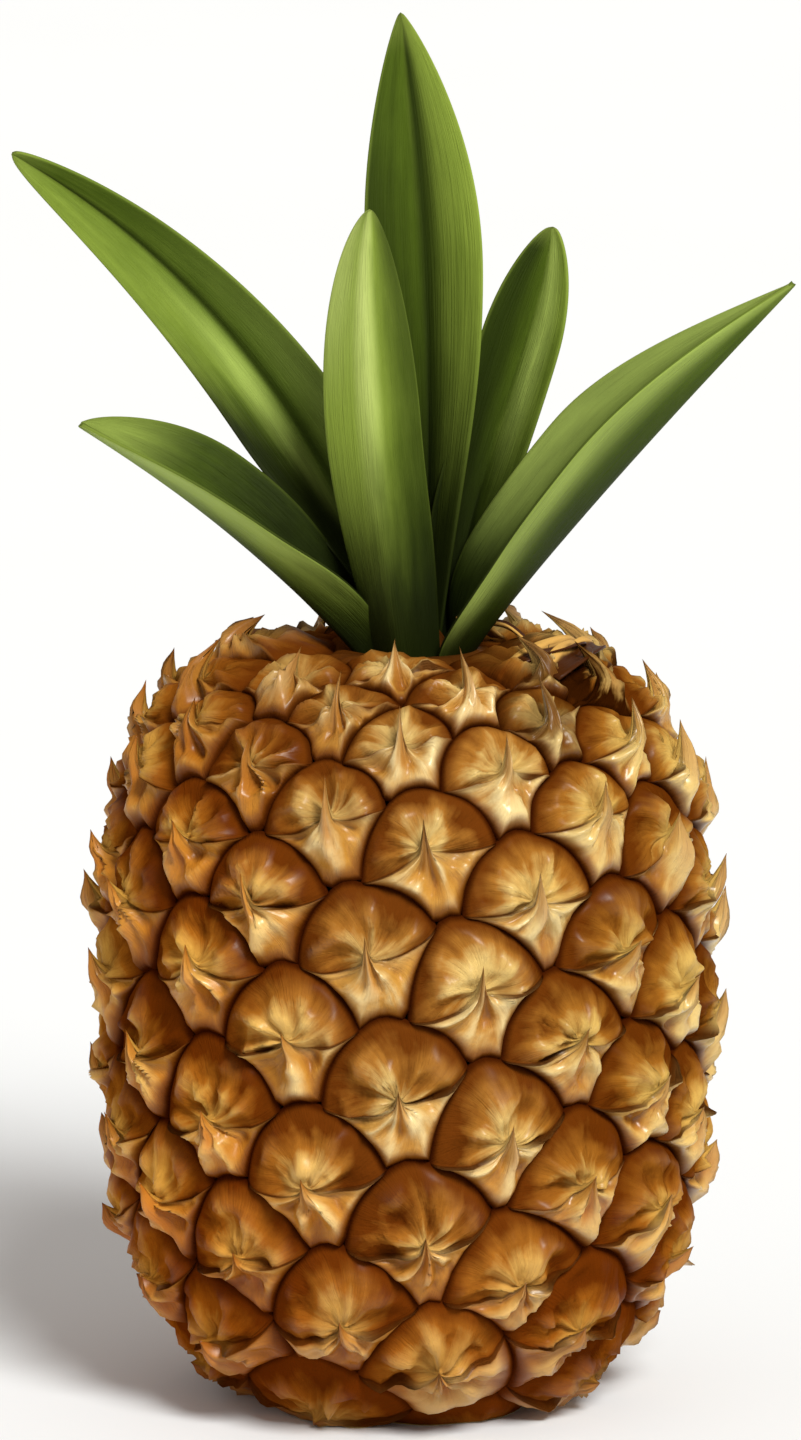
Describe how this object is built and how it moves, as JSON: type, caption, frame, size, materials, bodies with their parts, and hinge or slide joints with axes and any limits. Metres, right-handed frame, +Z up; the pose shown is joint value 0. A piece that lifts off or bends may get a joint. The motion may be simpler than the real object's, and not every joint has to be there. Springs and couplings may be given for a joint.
{
  "type": "whole pineapple",
  "caption": "Unpeeled pineapple standing on its cut base: a barrel of spiralling scaly eyes with hooked tips, and a sparse crown of long folded green leaves.",
  "frame": {"origin": "bottom centre of the bounding box, on the plane of the cut base", "axes": "+Z up along the fruit towards the crown, -Y towards the side that the picture shows, +X towards the picture's right"},
  "size_m": [0.156, 0.1276, 0.278],
  "materials": {
    "rind": "waxy brown scales with papery golden bracts and dark grooves",
    "leaf": "smooth waxy green, paler towards the tips and nearly black green at the foot"
  },
  "bodies": {
    "root": {"fruit": "rind", "leaf_front": "leaf", "leaf_right_long": "leaf", "leaf_left_low": "leaf", "leaf_back_tall": "leaf", "leaf_left_long": "leaf", "leaf_right_back": "leaf"}
  },
  "joints": []
}
